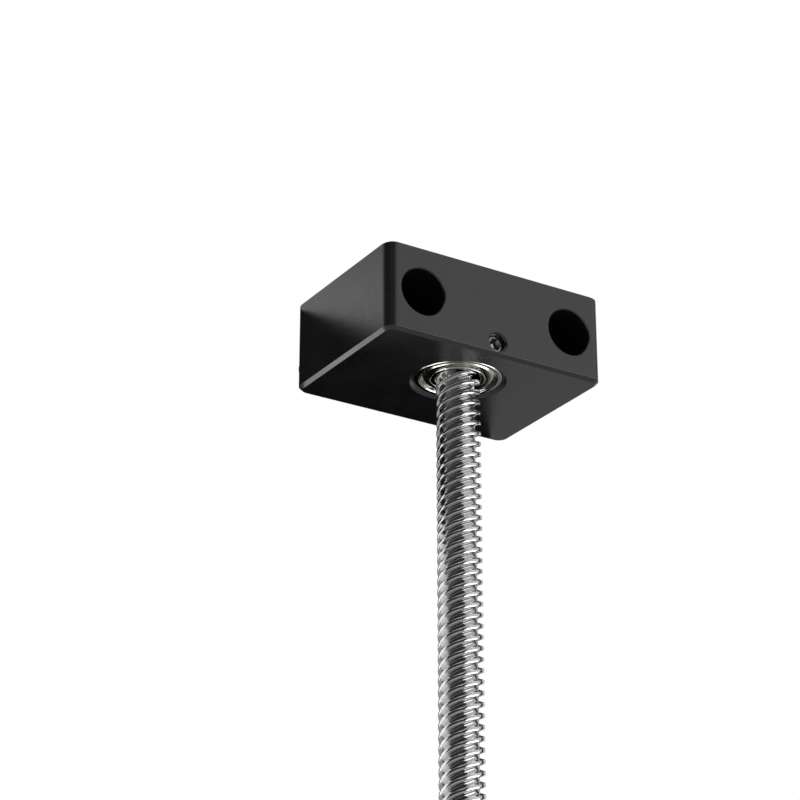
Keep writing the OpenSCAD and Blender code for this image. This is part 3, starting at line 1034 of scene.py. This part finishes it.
# Lights: name, azimuth and elevation in degrees, distance, width and height in metres,
# radiance, aim. Those named *_under stand low and light only the bearing.
LIGHTS = (
    ("right_front", 38, 22, 1.0, 1.6, 0.8, 0.58, SCREW_AIM),
    ("right_low", 28, -3, 0.95, 1.35, 0.36, 2.4, SCREW_AIM),
    ("right_back", 118, 15, 1.0, 0.6, 0.9, 0.55, SCREW_AIM),
    ("left_back", -140, 4, 0.40, 0.42, 0.46, 0.95, SCREW_AIM),
    ("left_low", -152, -29, 0.35, 0.12, 0.12, 1.7, LEFT_FACE_AIM),
    ("right_under", 100, -50, 0.25, 0.10, 0.10, 4.5, BEARING_AIM),
    ("back_under", 180, -58, 0.22, 0.10, 0.10, 4.5, BEARING_AIM),
    ("overhead", 0, 85, 0.9, 1.5, 1.5, 0.5, SCREW_AIM),
)
WORLD_FILL = 0.035

# The floor's reach from the middle in millimetres, its own glow near the object and far
# away, the distances in metres where that changes, and the glow that reflections show
FLOOR_REACH = 6000
FLOOR_NEAR_GLOW = 0.775
FLOOR_FAR_GLOW = 1.0
FLOOR_NEAR = 0.2
FLOOR_FAR = 2.2
FLOOR_CARD_GLOW = 0.33
FLOOR_CARD_RISE = 0.01

# The dark card stands where the machine's frame would be: its left and right sides,
# its top, and its foot beside and below the block, in millimetres.
CARD_LEFT = -90
CARD_RIGHT = 20
CARD_TOP = 8.3
CARD_SIDE_FOOT = -10
CARD_FOOT = -32
CARD_INSET = 0.05


def direction(azimuth, elevation):
    """Unit vector towards an azimuth (0 is -Y, 90 is +X) and an elevation, in degrees."""
    a, e = math.radians(azimuth), math.radians(elevation)
    return Vector((math.sin(a) * math.cos(e), -math.cos(a) * math.cos(e), math.sin(e)))


def make_camera():
    camera = bpy.data.objects.new("camera", bpy.data.cameras.new("camera"))
    bpy.context.scene.collection.objects.link(camera)
    target = Vector((VIEW_SIDE, AXIS.y, VIEW_RISE)) * MM
    back = direction(VIEW_AZIMUTH, VIEW_ELEVATION)
    camera.location = target + back * VIEW_DISTANCE * MM
    camera.rotation_euler = (-back).to_track_quat("-Z", "Y").to_euler()
    camera.data.lens = FOCAL_LENGTH
    camera.data.sensor_width = SENSOR_WIDTH
    camera.data.clip_start = 0.01
    camera.data.clip_end = 20
    bpy.context.scene.camera = camera


def softbox(name, azimuth, elevation, distance, width, height, radiance, aim):
    """A soft rectangular light that faces the object and that the camera doesn't see."""
    light = bpy.data.lights.new(name, "AREA")
    light.shape = "RECTANGLE"
    light.size, light.size_y = width, height
    light.energy = radiance * math.pi * width * height
    lamp = bpy.data.objects.new(name, light)
    bpy.context.scene.collection.objects.link(lamp)
    back = direction(azimuth, elevation)
    lamp.location = Vector(aim) + back * distance
    lamp.rotation_euler = back.to_track_quat("Z", "Y").to_euler()
    lamp.visible_camera = False
    return lamp


def light_bearing_only(lamp):
    """Keeps a light's glints on the bearing's rings, so that the screw's edge stays clear."""
    pieces = bpy.data.collections.new(f"{lamp.name}_receivers")
    for name in ("bearing_outer_race", "bearing_inner_race", "shield_disc_lower",
                 "snap_ring_wire_lower"):
        pieces.objects.link(bpy.data.objects[name])
    lamp.light_linking.receiver_collection = pieces


def make_lights():
    for light in LIGHTS:
        lamp = softbox(*light)
        if lamp.name.endswith("_under"):
            light_bearing_only(lamp)


def make_world():
    """White to the camera, and a dim even fill for everything else."""
    world = bpy.data.worlds.new("studio")
    bpy.context.scene.world = world
    world.use_nodes = True
    tree = world.node_tree
    tree.nodes.clear()
    out = tree.nodes.new("ShaderNodeOutputWorld")
    mix = tree.nodes.new("ShaderNodeMixShader")
    path = tree.nodes.new("ShaderNodeLightPath")
    tree.links.new(path.outputs["Is Camera Ray"], mix.inputs[0])
    for socket, strength in ((mix.inputs[1], WORLD_FILL), (mix.inputs[2], 1.0)):
        background = tree.nodes.new("ShaderNodeBackground")
        background.inputs["Color"].default_value = (1, 1, 1, 1)
        background.inputs["Strength"].default_value = strength
        tree.links.new(background.outputs[0], socket)
    tree.links.new(mix.outputs[0], out.inputs[0])
    bpy.context.scene.view_settings.view_transform = "Standard"


def stage_sheet(name, corners):
    """One flat face of the stage, through corners in millimetres."""
    bm = bmesh.new()
    bm.faces.new([bm.verts.new(p) for p in corners])
    sheet = piece_from(name, bm)
    return sheet


def floor_corners(rise=0.0):
    """The floor's corners, or those of a sheet a little above it, in millimetres."""
    z = cad_bounds[0].z / MM + rise
    return [(x * FLOOR_REACH, y * FLOOR_REACH, z) for x, y in ((-1, -1), (1, -1), (1, 1), (-1, 1))]


def one_way(n):
    """Makes a sheet's lower side clear, so that it hides nothing from a low view."""
    mix = n.new("ShaderNodeMixShader")
    n.link(n.new("ShaderNodeNewGeometry").outputs["Backfacing"], mix.inputs[0])
    n.link(n.shader.outputs[0], mix.inputs[1])
    n.link(n.new("ShaderNodeBsdfTransparent").outputs[0], mix.inputs[2])
    n.link(mix.outputs[0], n.tree.nodes["Material Output"].inputs["Surface"])


def make_floor():
    """A pale floor that brightens to the white of the background far away."""
    floor = stage_sheet("floor", floor_corners())
    n = Nodes("pale_floor")
    place, (px, py, _) = n.position()
    n.link(n.colours(n.noise(place, 3, 2), (0.005, 0.005, 0.005), (0.008, 0.008, 0.008)),
           n.shader.inputs["Base Color"])
    n.shader.inputs["Roughness"].default_value = 0.9
    n.shader.inputs["Specular IOR Level"].default_value = 0.0
    n.shader.inputs["Emission Color"].default_value = (1, 1, 1, 1)
    glow = n.ramp(n.length(px, py), FLOOR_NEAR, FLOOR_FAR, FLOOR_NEAR_GLOW, FLOOR_FAR_GLOW)
    n.link(glow, n.shader.inputs["Emission Strength"])
    one_way(n)
    floor.data.materials.append(n.material)
    floor.visible_glossy = False


def reflection_card(name, corners, glow):
    """A flat sheet with an even glow that only reflections show."""
    card = stage_sheet(name, corners)
    n = Nodes(name)
    n.shader.inputs["Base Color"].default_value = (0, 0, 0, 1)
    n.shader.inputs["Specular IOR Level"].default_value = 0.0
    n.shader.inputs["Emission Color"].default_value = (1, 1, 1, 1)
    n.shader.inputs["Emission Strength"].default_value = glow
    card.data.materials.append(n.material)
    card.visible_camera = False
    card.visible_diffuse = False
    card.visible_shadow = False


def make_cards():
    """A dark card just in front of the block's back, and a dim one over the floor."""
    low, high = BLOCK
    y = high.y - CARD_INSET
    outline = [(CARD_LEFT, CARD_SIDE_FOOT), (low.x, CARD_SIDE_FOOT), (low.x, CARD_FOOT),
               (CARD_RIGHT, CARD_FOOT), (CARD_RIGHT, low.z), (low.x, low.z),
               (low.x, CARD_TOP), (CARD_LEFT, CARD_TOP)]
    reflection_card("frame_card", [(x, y, z) for x, z in outline], 0.0)
    reflection_card("floor_card", floor_corners(FLOOR_CARD_RISE), FLOOR_CARD_GLOW)


make_camera()
make_block()
make_mount_screws()
make_grub_screw()
make_bearing()
make_lead_screw()
make_nut()
make_coupling()
make_lights()
make_world()
make_floor()
make_cards()
